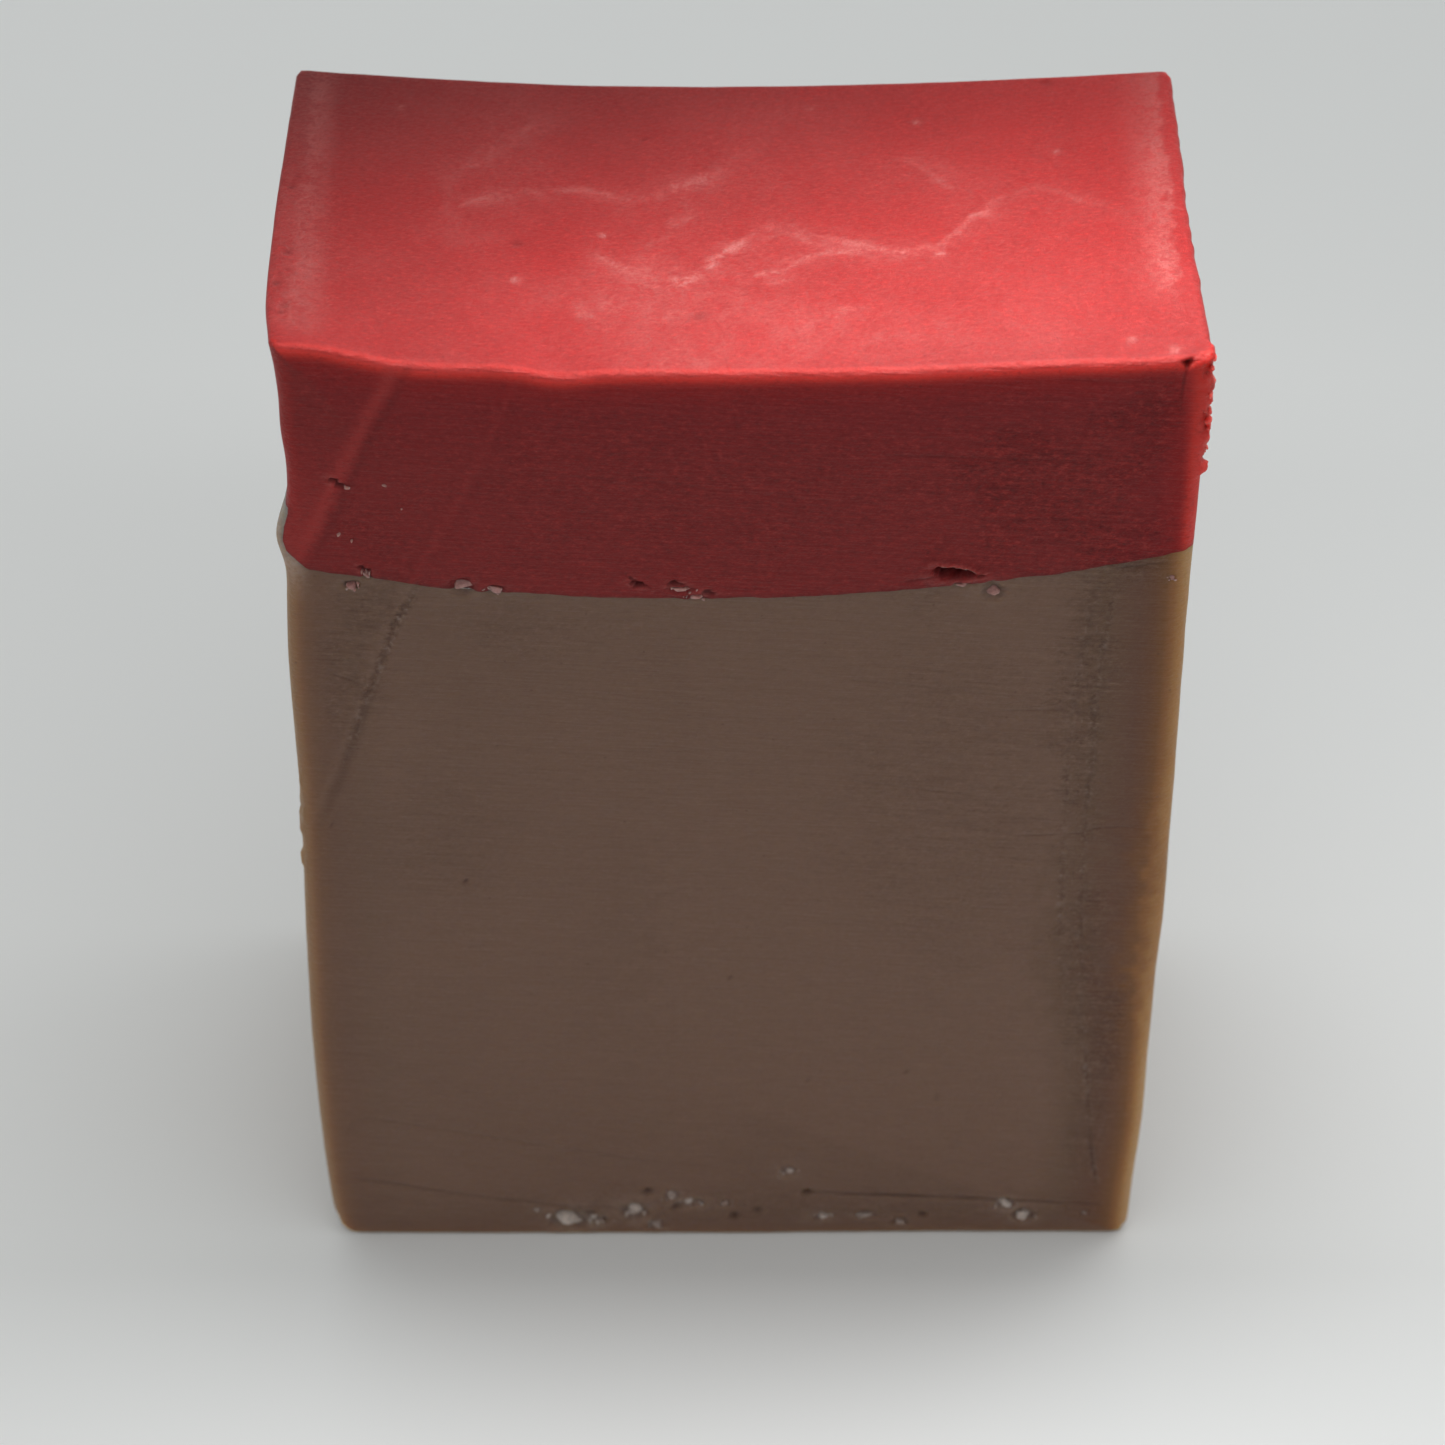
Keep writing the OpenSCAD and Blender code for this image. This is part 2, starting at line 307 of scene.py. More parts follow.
def add_steps(marks, x, z):
    """The steps of the wire: a drop to their left, painted shade at their foot and a painted highlight on
    their shoulder.
    """
    for line, drop, tilt in STEPS:
        inside = left_of(x, z, line)
        wander = inside + 0.12 * noise(1.5, 48, x, z)
        fade = ramp(z, line[-1][1] - 3.0, line[-1][1] + 4.0)
        marks.steps -= fade * (drop * ramp(wander, -0.35, 0.45) + tilt * np.maximum(inside, 0.0))
        marks.steps += fade * 0.06 * hump(wander - 0.7, 0.45)
        if line is STEP_LEFT:
            marks.dent += 0.3 * fade * hump(wander + 0.25, 0.3)
            marks.ridge += fade * 0.6 * hump(wander - 0.65, 0.55)
            # Painted light on the flat to the left of the upper step
            lit_flat = ramp(-z, -71.0, -62.0) * ramp(inside, 0.2, 1.2) * ramp(z, 58.0, 61.0)
            marks.ridge += 0.42 * lit_flat
        else:
            # Painted shade along the lower step's foot, more in its lower part
            smooth_band = ramp(-z, -55.0, -47.0) * fade
            marks.dent += (0.06 + 0.4 * smooth_band) * fade * hump(wander + 0.2, 0.34)
            marks.ridge += 0.15 * fade * hump(wander - 0.45, 0.25)


def add_lines(marks, x, z):
    """The scratched lines: the nearest one's side, depth and dots, and the grooves with their lips."""
    nearest = np.full(x.shape, LINE_REACH)
    for line, depth, dots in LINES:
        gap, along, side = line_gap(x, z, line)
        ends = ramp(along, -0.02, 0.04) * (1.0 - 0.5 * ramp(along, 0.6, 1.0))
        fade = ends * (0.75 + 0.4 * noise(1.2, 59, x, z))
        nearer = gap < nearest
        nearest = np.where(nearer, gap, nearest)
        marks.scratch = np.where(nearer, np.sign(side) * gap, marks.scratch)
        marks.etch = np.where(nearer, depth * fade, marks.etch)
        marks.dotted = np.where(nearer, dots, marks.dotted)
        marks.height += 0.05 * depth * fade * (0.6 * hump(gap - 0.42, 0.2) - hump(gap, 0.22))


def add_tears(marks, x, z):
    """Torn hollows just above the seam, with pale soap raised round them."""
    seam = seam_height(x, FRONT + 0 * x)
    for tear_x, above, half_x, half_z, depth, lean in TEARS:
        local_x = (x - tear_x) / half_x
        taper = 1.0 - 0.4 * np.clip(local_x, -1.0, 1.0)
        local_z = (z - seam - above - lean * (x - tear_x)) / (half_z * taper)
        ragged = 0.2 * noise(0.45, 51, x, z) + 0.12 * noise(0.2, 52, x, z)
        reach = np.hypot(local_x, local_z) + ragged
        hollow = 1.0 - ramp(reach, 0.75, 1.05)
        upper = hump(reach - 1.3, 0.25) * ramp(local_z, 0.1, 0.7)
        lower = hump(reach - 1.45, 0.35) * ramp(-local_z, 0.1, 0.7)
        marks.height += depth * (0.2 * upper + 0.12 * lower - hollow)
        # Painted shade in the hollow
        marks.dent += 1.7 * hollow
        marks.pale += 0.45 * upper + 0.35 * lower


def add_pits(marks, x, z):
    """Small round pits, with painted shade in them."""
    for pit_x, pit_z, radius, depth in PITS:
        reach = np.hypot(x - pit_x, z - pit_z) / radius + 0.25 * noise(0.3, 53, x, z)
        hollow = 1.0 - ramp(reach, 0.3, 1.1)
        marks.height -= depth * hollow
        marks.dent += hollow


def add_pockets(marks, x, z, grains):
    """The pocket and the raised, milky rim of soap round every grain, with painted shade along the pocket's
    upper edge.
    """
    for centre, size, wide, tall, _, whiteness in grains:
        reach = np.hypot((x - centre[0]) / wide, (z - centre[2]) / tall) / size
        reach = reach + 0.15 * noise(0.35, 54, x, z)
        pocket = 0.15 * size * (1.0 - ramp(reach, 0.4, 0.66))
        marks.height += 0.05 * hump(reach - 0.8, 0.18) - pocket
        milk = (0.1 + 0.4 * whiteness) * hump(reach, 0.85)
        marks.pale += milk * (0.6 + 0.5 * noise(0.5, 55, x, z))
        upper_half = ramp(z, centre[2] - 0.2, centre[2] + 0.2)
        marks.dent += 0.12 * hump(reach - 0.62, 0.12) * upper_half


def front_marks(x, z, grains):
    """The front face's broad steps and fine height in millimetres, its masks, and the nearest line."""
    marks = SimpleNamespace(**{name: np.zeros(x.shape) for name in ("steps", "height") + FACE_MASKS})
    marks.scratch = np.full(x.shape, LINE_REACH)
    marks.steps += 0.1 * rough(16.0, 41, x, z, octaves=2)
    marks.height += 0.022 * rough(3.0, 44, x, z)
    marks.height += 0.01 * noise(0.55, 46, 0.12 * x, z + 0.06 * x) + 0.006 * noise(0.4, 47, x, z)
    for add in (add_patches, add_steps, add_lines, add_tears, add_pits):
        add(marks, x, z)
    add_pockets(marks, x, z, grains)
    masks = {name: np.clip(getattr(marks, name), 0.0, 1.0) for name in FACE_MASKS}
    return marks.steps, marks.height, masks, marks.scratch


def plain_marks(a, b, seed):
    """Height of a face with no marks of its own: soft waves and a fine grain."""
    return 0.07 * rough(13.0, seed, a, b, octaves=2) + 0.018 * rough(2.5, seed + 5, a, b)


def burrs(y, z, low, high, amount, seed):
    """Height of the crumbs that the cut pushed over an upright edge from low to high."""
    run = ramp(z, low, low + 1.5) * (1.0 - ramp(z, high - 0.5, high)) * ramp(-y, -FRONT - 2.2, -FRONT - 0.3)
    clumps = ramp(noise(0.8, seed, z, 0.5 * y) + 0.4 * noise(0.35, seed + 1, z, y), -0.2, 0.3)
    uneven = 0.6 + 0.5 * noise(0.5, seed + 2, z, y) + 0.3 * noise(0.3, seed + 3, z, y)
    return amount * run * clumps * uneven


# Width beside the right edge that light shines through, as a share of the usual, by height in each pour
BASE_STRIP = ((0, 1.0), (18, 0.95), (25, 1.15), (35, 1.15), (42, 1.0), (50, 0.95), (61, 1.0))
TOP_STRIP = ((60, 0.85), (69, 0.95), (74, 1.25), (77, 1.5))
EDGE_REACH = 8.0


def edge_light(x, y, z, top):
    """Distance from the nearest thin edge, and how much light shows through it."""
    from_cut = np.minimum(y - FRONT, BACK - y)
    mottle = 1.0 + 0.22 * noise(0.7, 92, x, z) * ramp(z, 16.0, 22.0) * (1.0 - ramp(z, 36.0, 44.0))
    right = HALF_W + curve(z, RIGHT_WALL) - x
    right = right * mottle / curve(z, TOP_STRIP if top else BASE_STRIP) + from_cut
    left = 1.3 * (x + HALF_W + curve(z, LEFT_WALL)) + from_cut
    level = top_height(x, y) - z + 0.1 + from_cut if top else 2.5 * z + 0.1 + from_cut
    depth = np.minimum(np.minimum(right, left), level)
    share = np.where(depth == left, 0.12 if top else 0.36, 1.0)
    share = np.where(depth == level, 0.95 if top else 0.25, share)
    return np.clip(depth, 0.0, EDGE_REACH), share


# ---- ash on the poured top
# Wisps of soda ash as (points, width, strength, haze in front), x across and y to the back
WISPS = (
    (((-17.5, -0.9), (-18.5, 0.5), (-18.6, 4.7), (-17.7, 5.3), (-16.3, 6.5), (-15.1, 8.3), (-14.0, 10.5),
      (-13.7, 12.2), (-14.3, 15.1)), 0.8, 0.3, 0.0),
    (((-18.0, 0.7), (-16.7, 2.0), (-15.2, 2.7), (-13.3, 3.0), (-11.4, 3.2), (-9.5, 3.1), (-7.5, 2.4),
      (-5.9, 2.8), (-4.7, 3.4), (-2.4, 4.7), (-0.8, 6.2), (0.2, 7.7), (1.0, 10.5)), 0.5, 0.42, 0.32),
    (((-9.9, -3.3), (-8.7, -4.2), (-6.9, -5.7), (-5.3, -6.8), (-3.7, -7.0), (-2.3, -5.9), (-0.9, -3.9),
      (0.8, -2.0), (2.3, -1.5), (3.9, -1.6), (6.3, -2.5), (8.4, -3.5), (10.0, -3.8), (12.5, -3.5),
      (14.2, -1.3), (16.1, 0.9), (17.2, 2.4), (19.3, 2.8), (21.3, 2.1), (23.2, 0.2), (24.5, -1.3)),
     0.42, 0.62, 0.25),
    (((1.0, -6.2), (2.5, -5.4), (3.8, -5.0), (6.2, -3.8), (8.4, -3.5)), 0.42, 0.6, 0.22),
    (((-6.2, -4.8), (-5.3, -2.3), (-4.0, -1.1), (-3.1, 0.6), (-3.4, 2.2)), 0.55, 0.38, 0.0),
    (((-7.9, 0.6), (-6.6, 2.8)), 0.4, 0.3, 0.0),
    (((-10.2, -9.0), (-9.1, -10.7), (-8.3, -9.6), (-7.7, -8.8)), 0.5, 0.36, 0.0),
    (((3.0, -11.4), (4.9, -10.3), (6.8, -9.9), (8.7, -9.3)), 0.6, 0.36, 0.1),
    (((10.5, 7.5), (12.8, 5.4), (13.6, 3.6), (14.2, 2.4)), 0.7, 0.28, 0.0),
)
# Clouds of thin ash as (x, y, half width, half depth, strength)
CLOUDS = (
    (12.4, 5.0, 3.2, 2.4, 0.16), (15.5, 1.8, 2.2, 1.6, 0.12), (-3.0, 4.0, 3.5, 2.0, 0.12),
    (-17.5, -1.8, 2.2, 1.6, 0.18), (-4.0, -9.5, 7.5, 2.6, 0.3), (5.0, -3.2, 4.2, 1.8, 0.12),
    (-6.5, -5.6, 3.0, 1.4, 0.18), (-12.0, -8.0, 4.0, 2.0, 0.1), (4.0, -13.0, 12.0, 2.2, 0.22),
    (-14.0, 8.0, 3.0, 6.0, 0.12), (-2.5, -15.5, 6.0, 1.6, 0.25),
)
# White specks, and pits with painted shade, as (x, y, radius)
SPECKS = ((11.8, 11.2, 0.25), (20.7, 6.8, 0.25), (12.6, -4.4, 0.22), (23.8, -14.4, 0.25), (-14.0, -7.1, 0.3),
          (-8.6, -1.9, 0.25), (26.3, -15.6, 0.35), (-22.0, 12.4, 0.2), (4.9, 13.2, 0.2))
TOP_PITS = ((-13.9, -3.0, 0.35), (-2.5, -10.8, 0.4), (20.6, 15.6, 0.35), (-28.6, -9.1, 0.3),
            (-27.9, -11.5, 0.3), (-28.1, -12.3, 0.25), (-28.2, -5.5, 0.3), (-28.4, 2.0, 0.25),
            (-6.0, 9.6, 0.2))


def bend(x, y, seed, fine_seed):
    """A small smooth shift that bends the ash's lines."""
    broad = 0.45 * noise(2.4, seed, x, y) + 0.3 * noise(0.9, seed + 1, x, y)
    return broad + 0.14 * noise(0.4, fine_seed, x, y)


def wisp_ash(x, y, x_bent, y_bent):
    """Ash in the curved wisps: a thread, a soft band, a faint twin, and haze in front."""
    ash = np.zeros(x.shape)
    for line, width, strength, haze in WISPS:
        gap, along, side = line_gap(x_bent, y_bent, line)
        ends = ramp(along, 0.0, 0.08) * (1.0 - 0.75 * ramp(along, 0.6, 1.0))
        broken = 0.3 + 0.7 * ramp(noise(1.7, 76, x, y) + 0.4 * noise(0.6, 84, x, y), -0.6, 0.5)
        spread = width * (0.85 + 0.5 * noise(1.5, 85, x, y))
        wisp = strength * broken * (0.62 * hump(gap, 0.5 * spread) + 0.24 * hump(gap, 1.8 * spread))
        twin = gap - 0.9 - 0.5 * noise(3.0, 87, x, y)
        wisp += 0.25 * strength * hump(twin, 0.22) * ramp(noise(2.6, 88, x, y), 0.0, 0.4)
        cloudy = 0.8 + 0.4 * noise(1.2, 86, x, y)
        wisp += 0.5 * haze * ramp(-side, -0.3, 0.6) * np.exp(-gap / 1.3) * cloudy
        ash = np.maximum(ash, ends * wisp)
    return ash


def rim_ash(x, y):
    """Ash along the two side rims, bitten away at their outer edges."""
    bite = 0.75 * np.maximum(0.0, noise(0.9, 78, x, y)) + 0.35 * noise(0.45, 79, x, y)
    lean = 0.035 * (y - FRONT)
    right = ramp(x - lean, 23.0, 26.6) ** 1.5 * (1.0 - ramp(x - lean + bite, 26.7, 27.2))
    right *= ramp(y, FRONT + 5.0, FRONT + 8.5)
    left = ramp(-x - lean, 24.6, 26.6) * (1.0 - 0.6 * ramp(-x + bite, 27.6, 28.4))
    left *= ramp(y, FRONT + 0.5, FRONT + 3.0)
    return (0.42 * right + 0.3 * left) * (0.75 + 0.4 * rough(2.2, 80, x, y))


def ash_mask(x, y):
    """How much pale ash lies on the poured top, from 0 to 1."""
    x_bent = x + bend(x, y, 71, 82)
    y_bent = y + bend(x, y, 73, 83)
    ash = wisp_ash(x, y, x_bent, y_bent)
    for cloud_x, cloud_y, half_x, half_y, strength in CLOUDS:
        gap = np.hypot((x_bent - cloud_x) / half_x, (y_bent - cloud_y) / half_y)
        ash += 0.7 * strength * hump(gap, 1.0) * (0.7 + 0.5 * noise(1.2, 77, x, y))
    ash += rim_ash(x, y)
    ash += 0.06 * (1.0 + rough(6.0, 81, x, y))
    for speck_x, speck_y, radius in SPECKS:
        ash += 0.6 * hump(np.hypot(x - speck_x, y - speck_y), radius)
    return np.clip(ash, 0.0, 1.0)


def painted_top_light(x, y):
    """Share of the usual colour on the poured top, as painted light and shade: lighter in front and at the
    back right, darker at the back left.
    """
    back = (y - FRONT) / DEPTH
    in_front = 1.27 - 0.3 * ramp(x, -10.0, 15.0)
    at_back = 0.6 + 0.8 * (x / HALF_W + 1.0) / 2.0
    return (1.0 - back) * in_front + back * at_back


def top_pits(x, y):
    """Depth share of the small pits in the poured top, which also paints shade in them."""
    depth = sum(hump(np.hypot(x - pit_x, y - pit_y), radius) for pit_x, pit_y, radius in TOP_PITS)
    return np.clip(depth, 0.0, 1.0)


# ---- building a layer's mesh
def rows(length, *zones):
    """Even number of steps from 0 to 1 along a length, from zones of (end, step) in millimetres."""
    places = [0.0]
    start = 0.0
    for end, step in zones:
        count = max(1, round((end - start) / step))
        places += [start + (end - start) * (k + 1) / count for k in range(count)]
        start = end
    if len(places) % 2 == 0:
        places.insert(1, places[1] / 2.0)
    return np.array(places) / length


def ring_order(across, up):
    """Grid places along the border of a cap, once round, starting at the lower left."""
    border = [(i, 0) for i in range(across)]
    border += [(across, j) for j in range(up)]
    border += [(i, up) for i in range(across, 0, -1)]
    border += [(0, j) for j in range(up, 0, -1)]
    return np.array(border)


def cap_faces(count_x, count_z, first, flip):
    """Quads of a cap whose grid points start at index first."""
    index = first + np.arange(count_x * count_z).reshape(count_x, count_z)
    quads = np.stack([index[:-1, :-1], index[1:, :-1], index[1:, 1:], index[:-1, 1:]], axis=-1)
    quads = quads.reshape(-1, 4)
    return quads[:, ::-1] if flip else quads


def band(ring, new):
    """Quads between two rings with as many points."""
    return np.stack([np.roll(ring, -1), ring, new, np.roll(new, -1)], axis=-1)


def tube(steps_x, steps_z, steps_y, coarse_from):
    """A closed box of quads: a fine front cap, rings, and a back cap with half as many points.

    Returns (x, y, z shares of every point, quads, triangles). The rings halve at row coarse_from."""
    nx, nz = len(steps_x), len(steps_z)
    gx, gz = np.meshgrid(steps_x, steps_z, indexing="ij")
    points = [np.stack([gx.ravel(), 0 * gx.ravel(), gz.ravel()], axis=-1)]
    quads = [cap_faces(nx, nz, 0, False)]
    triangles = []
    border = ring_order(nx - 1, nz - 1)
    ring = border[:, 0] * nz + border[:, 1]
    ring_x, ring_z = steps_x[border[:, 0]], steps_z[border[:, 1]]
    total = nx * nz
    for row in range(1, len(steps_y) - 1):
        halve = row == coarse_from
        if halve:
            ring_x, ring_z = ring_x[::2], ring_z[::2]
        new = total + np.arange(len(ring_x))
        points.append(np.stack([ring_x, np.full(len(ring_x), steps_y[row]), ring_z], axis=-1))
        total += len(ring_x)
        if halve:
            first, middle, last = ring[::2], ring[1::2], np.roll(ring[::2], -1)
            triangles += [np.stack([middle, first, new], -1), np.stack([middle, new, np.roll(new, -1)], -1)]
            triangles += [np.stack([last, middle, np.roll(new, -1)], -1)]
        else:
            quads.append(band(ring, new))
        ring = new
    back_x, back_z = steps_x[::2], steps_z[::2]
    gx, gz = np.meshgrid(back_x, back_z, indexing="ij")
    points.append(np.stack([gx.ravel(), 0 * gx.ravel() + 1.0, gz.ravel()], axis=-1))
    quads.append(cap_faces(len(back_x), len(back_z), total, True))
    border = ring_order(len(back_x) - 1, len(back_z) - 1)
    new = total + border[:, 0] * len(back_z) + border[:, 1]
    quads.append(band(ring, new))
    return np.concatenate(points), np.concatenate(quads), np.concatenate(triangles)


def outward(points, quads, triangles, skipped):
    """Unit direction out of the surface at every point, without the faces skipped."""
    total = np.zeros(points.shape)
    for faces in (quads, triangles):
        faces = faces[~skipped[faces].all(axis=1)]
        a, b, c = points[faces[:, 0]], points[faces[:, 1]], points[faces[:, 2]]
        d = points[faces[:, -1]]
        face_normal = np.cross(c - a, (d if faces.shape[1] == 4 else c) - b)
        for k in range(faces.shape[1]):
            np.add.at(total, faces[:, k], face_normal)
    total[skipped, 2] = 0.0
    length = np.linalg.norm(total, axis=1, keepdims=True)
    return total / np.where(length > 0, length, 1.0)


def make_mesh(name, points, faces, masks, creased=None):
    """A mesh object from millimetres, with an attribute for each mask, and sharp where creased."""
    mesh = bpy.data.meshes.new(name)
    mesh.from_pydata((points * MM).tolist(), [], faces)
    for mask, values in masks.items():
        layer = mesh.attributes.new(mask, "FLOAT", "POINT")
        layer.data.foreach_set("value", np.asarray(values, np.float32))
    if creased is not None:
        mesh.polygons.foreach_set("use_smooth", [True] * len(mesh.polygons))
        ends = np.empty(2 * len(mesh.edges), np.int32)
        mesh.edges.foreach_get("vertices", ends)
        sharp = mesh.attributes.new("sharp_edge", "BOOLEAN", "EDGE")
        sharp.data.foreach_set("value", creased[ends.reshape(-1, 2)].all(axis=1))
    mesh.update()
    piece = bpy.data.objects.new(name, mesh)
    put_in_scene(piece)
    return piece


def layer_grid(top):
    """Steps across, up and through a pour, and the row where its rings thin out."""
    width = 2 * HALF_W
    steps_x = rows(width, (1.0, 0.13), (8.5, 0.2), (width - 9.5, 0.27), (width - 0.8, 0.18), (width, 0.13))
    if top:
        height = RIM - SEAM_LOW
        steps_z = rows(height, (3.4, 0.2), (8.4, 0.3), (height - 0.8, 0.24), (height, 0.11))
        steps_y = rows(DEPTH, (0.9, 0.15), (DEPTH - 3.0, 0.33), (DEPTH, 0.4))
        coarse_from = len(steps_y) - 4
    else:
        height = SEAM_LOW
        steps_z = rows(height, (0.8, 0.12), (6.5, 0.2), (height - 3.0, 0.34), (height, 0.2))
        steps_y = rows(DEPTH, (0.9, 0.15), (3.5, 0.4), (DEPTH - 1.5, 0.8), (DEPTH, 0.25))
        coarse_from = 8
    return steps_x, steps_z, steps_y, coarse_from


def layer_mesh(name, top, grains):
    """One pour of soap: its large shape, then the marks on each face."""
    share, quads, triangles = tube(*layer_grid(top))
    x0 = -HALF_W + share[:, 0] * 2 * HALF_W
    y0 = FRONT + share[:, 1] * DEPTH
    points = shape(x0, y0, share[:, 2], top)
    on_seam = share[:, 2] == (0.0 if top else 1.0)
    border = on_seam & ((share[:, 0] == 0) | (share[:, 0] == 1) | (share[:, 1] == 0) | (share[:, 1] == 1))
    normal = outward(points, quads, triangles, on_seam)
    normal[on_seam & ~border] = 0.0
    x, y, z = points.T
    steps, height, masks, scratch = front_marks(x, z, grains)
    facing = {side: ramp(sign * normal[:, axis], 0.2, 0.8) for side, axis, sign in
              (("front", 1, -1), ("back", 1, 1), ("left", 0, -1), ("right", 0, 1), ("up", 2, 1))}
    lift = facing["front"] * height + facing["back"] * plain_marks(x, z, 141)
    lift += (facing["left"] + facing["right"]) * plain_marks(y, z, 151)
    masks = {name: mask * facing["front"] for name, mask in masks.items()}
    depth, share = edge_light(x, y, z, top)
    masks["depth"] = depth
    upward = normal[:, 2]
    # Painted glow of light shining through the thin edges, kept off faces that look up
    masks["glow"] = share * (1.0 - ramp(upward, 0.85, 0.98)) * (1.0 - 0.62 * ramp(upward, 0.05, 0.45))
    masks["scratch"] = scratch
    if top:
        lift += burrs(y, z, 66.0, RIM + 1.0, 0.4, 61) * ramp(normal[:, 0], 0.05, 0.6)
        lift += 0.06 * facing["right"] * ramp(z, 70.0, 74.0) * noise(0.9, 66, y, z)
        masks["ash"] = ash_mask(x, y) * facing["up"] * ~on_seam
        # Painted light and shade across the poured top, kept as half its share
        masks["painted_light"] = (1.0 + facing["up"] * (painted_top_light(x, y) - 1.0)) / 2.0
        pits = top_pits(x, y) * facing["up"]
        lift -= 0.15 * pits
        # Painted shade in the top's pits
        masks["dent"] = np.maximum(masks["dent"], 0.6 * pits)
    else:
        lift += burrs(y, z, 34.0, 46.0, 0.22, 67) * ramp(-normal[:, 0], 0.05, 0.6)
        smear = 0.75 * ramp(-x, HALF_W - 2.0, HALF_W - 0.3) * ramp(z, 57.0, 61.5)
        masks["pale"] = np.maximum(masks["pale"], smear)
    points = points + normal * lift[:, None]
    points[:, 1] -= steps * (1.0 - ramp(y, FRONT, FRONT + 6.0))
    if not top:
        points[:, 2] = np.maximum(points[:, 2], 0.0)
    return make_mesh(name, points, quads.tolist() + triangles.tolist(), masks, border)


# ---- grains
# A grain whose centre lies in front of this place shows in the front face
IN_FRONT = FRONT + 1.5


def islands(node):
    """(centre, size) in millimetres of each separate grain of a CAD node."""
    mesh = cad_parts[node].data
    places = np.array([v.co for v in mesh.vertices]) / MM
    merged, group = np.unique(np.round(places, 3), axis=0, return_inverse=True)
    group = group.ravel()
    parent = list(range(len(merged)))

    def root(i):
        while parent[i] != i:
            i = parent[i]
        return i

    for edge in mesh.edges:
        a, b = (root(group[v]) for v in edge.vertices)
        parent[max(a, b)] = min(a, b)
    roots = np.array([root(i) for i in range(len(merged))])
    found = []
    for r in np.unique(roots):
        mine = merged[roots == r]
        found.append(((mine.max(0) + mine.min(0)) / 2, float((mine.max(0) - mine.min(0)).mean())))
    return sorted(found, key=lambda item: tuple(np.round(item[0], 2)))


def crystal(rng, reach, corners=16, bevel=0.14):
    """Points and triangles of an uneven crystal with worn edges."""
    part = bmesh.new()
    for _ in range(corners):
        direction = rng.normal(size=3)
        direction /= np.abs(direction).max() ** 0.6 * np.linalg.norm(direction) ** 0.4
        part.verts.new(Vector(direction * reach * rng.uniform(0.85, 1.1)))
    bmesh.ops.convex_hull(part, input=part.verts)
    loose = [v for v in part.verts if not v.link_faces]
    bmesh.ops.delete(part, geom=loose, context="VERTS")
    bmesh.ops.dissolve_limit(part, angle_limit=math.radians(14), verts=part.verts, edges=part.edges)
    bmesh.ops.bevel(part, geom=part.edges[:], offset=bevel * float(min(reach)), segments=2, affect="EDGES",
                    clamp_overlap=True)
    bmesh.ops.triangulate(part, faces=part.faces)
    part.verts.index_update()
    points = np.array([v.co for v in part.verts])
    triangles = np.array([[v.index for v in face.verts] for face in part.faces])
    part.free()
    return points, triangles


def grain_piece(name, grains, seed):
    """Crystals in the places of these grains, each with its own look."""
    rng = np.random.default_rng(seed)
    points, triangles, white = [], [], []
    total = 0
    for centre, size, wide, tall, lean, whiteness in grains:
        reach = 0.45 * size * np.array((wide, 0.9, tall)) * rng.uniform(0.9, 1.1, 3)
        corners, faces = crystal(rng, reach)
        turn = np.array(Matrix.Rotation(math.radians(lean), 3, "Y"))
        points.append(corners @ turn.T + centre)
        triangles.append(faces + total)
        white += [whiteness] * len(corners)
        total += len(corners)
    # Glow and depth paint the crumbs with the glow of light through thin soap; the share of 0.5 paints no
    # light or shade on them
    lit = np.ones(total)
    masks = {"white": white, "glow": lit, "depth": 0.35 * lit, "painted_light": 0.5 * lit}
    return make_mesh(name, np.concatenate(points), np.concatenate(triangles).tolist(), masks)


def with_looks(found, looks):
    """Adds (width, height, lean, whiteness) to grains: those in the front face take theirs from looks."""
    left = list(looks)
    graded = []
    for centre, size in found:
        graded.append((centre, size) + (left.pop(0) if centre[1] < IN_FRONT else HIDDEN_LOOK))
    return graded


# Grains duller than this shed no chips
DULL = 0.28


def fragments(grains, seed, count=4):
    """Small chips that the wire broke off the whiter grains in the front face."""
    rng = np.random.default_rng(seed)
    chips = []
    for centre, size, wide, tall, _, whiteness in grains:
        for _ in range(count if centre[1] < IN_FRONT and whiteness > DULL else 0):
            angle = rng.uniform(0.0, 2.0 * math.pi)
            reach = rng.uniform(0.45, 0.95) * size
            shift = np.array((math.cos(angle) * wide, 0.0, 0.6 * math.sin(angle) * tall)) * reach
            chip_wide, chip_tall = rng.uniform(0.14, 0.4), rng.uniform(0.1, 0.22)
            chips.append((centre + shift, size, chip_wide, chip_tall, rng.uniform(-30, 30), 0.8 * whiteness))
    return chips


# Width and height as shares of the grain's size, lean in degrees and whiteness, from left to right
HIDDEN_LOOK = (1.0, 0.9, 0.0, 0.6)
SEAM_LOOKS = ((0.7, 0.4, 10, 0.35), (0.6, 0.5, -20, 0.3), (0.85, 0.7, 0, 0.25), (0.9, 0.5, 5, 0.4),
              (1.25, 0.34, 8, 0.65), (1.15, 0.38, -6, 0.6), (0.9, 0.35, -5, 0.15), (0.85, 0.75, 0, 0.25),
              (0.5, 0.5, 0, 0.3))
FOOT_LOOKS = ((0.7, 0.6, 0, 0.35), (0.95, 0.8, -12, 0.95), (0.8, 0.5, 8, 0.3), (0.8, 0.75, 20, 0.85),
              (0.9, 0.6, 0, 0.35), (0.7, 0.75, 15, 0.3), (1.0, 0.45, -8, 0.75), (0.9, 0.6, 0, 0.15),
              (0.85, 0.65, 10, 0.5), (1.0, 0.5, -10, 0.8), (1.0, 0.45, 0, 0.5), (0.8, 0.4, 6, 0.25),
              (0.95, 0.6, 25, 0.85), (0.8, 0.65, -15, 0.8), (0.7, 0.6, 0, 0.1))
FLECK_LOOKS = ((0.55, 0.3, -30, 0.4), (0.6, 0.3, 10, 0.45), (0.5, 0.25, 0, 0.3), (0.55, 0.25, 12, 0.4),
               (0.3, 0.2, 0, 0.2))


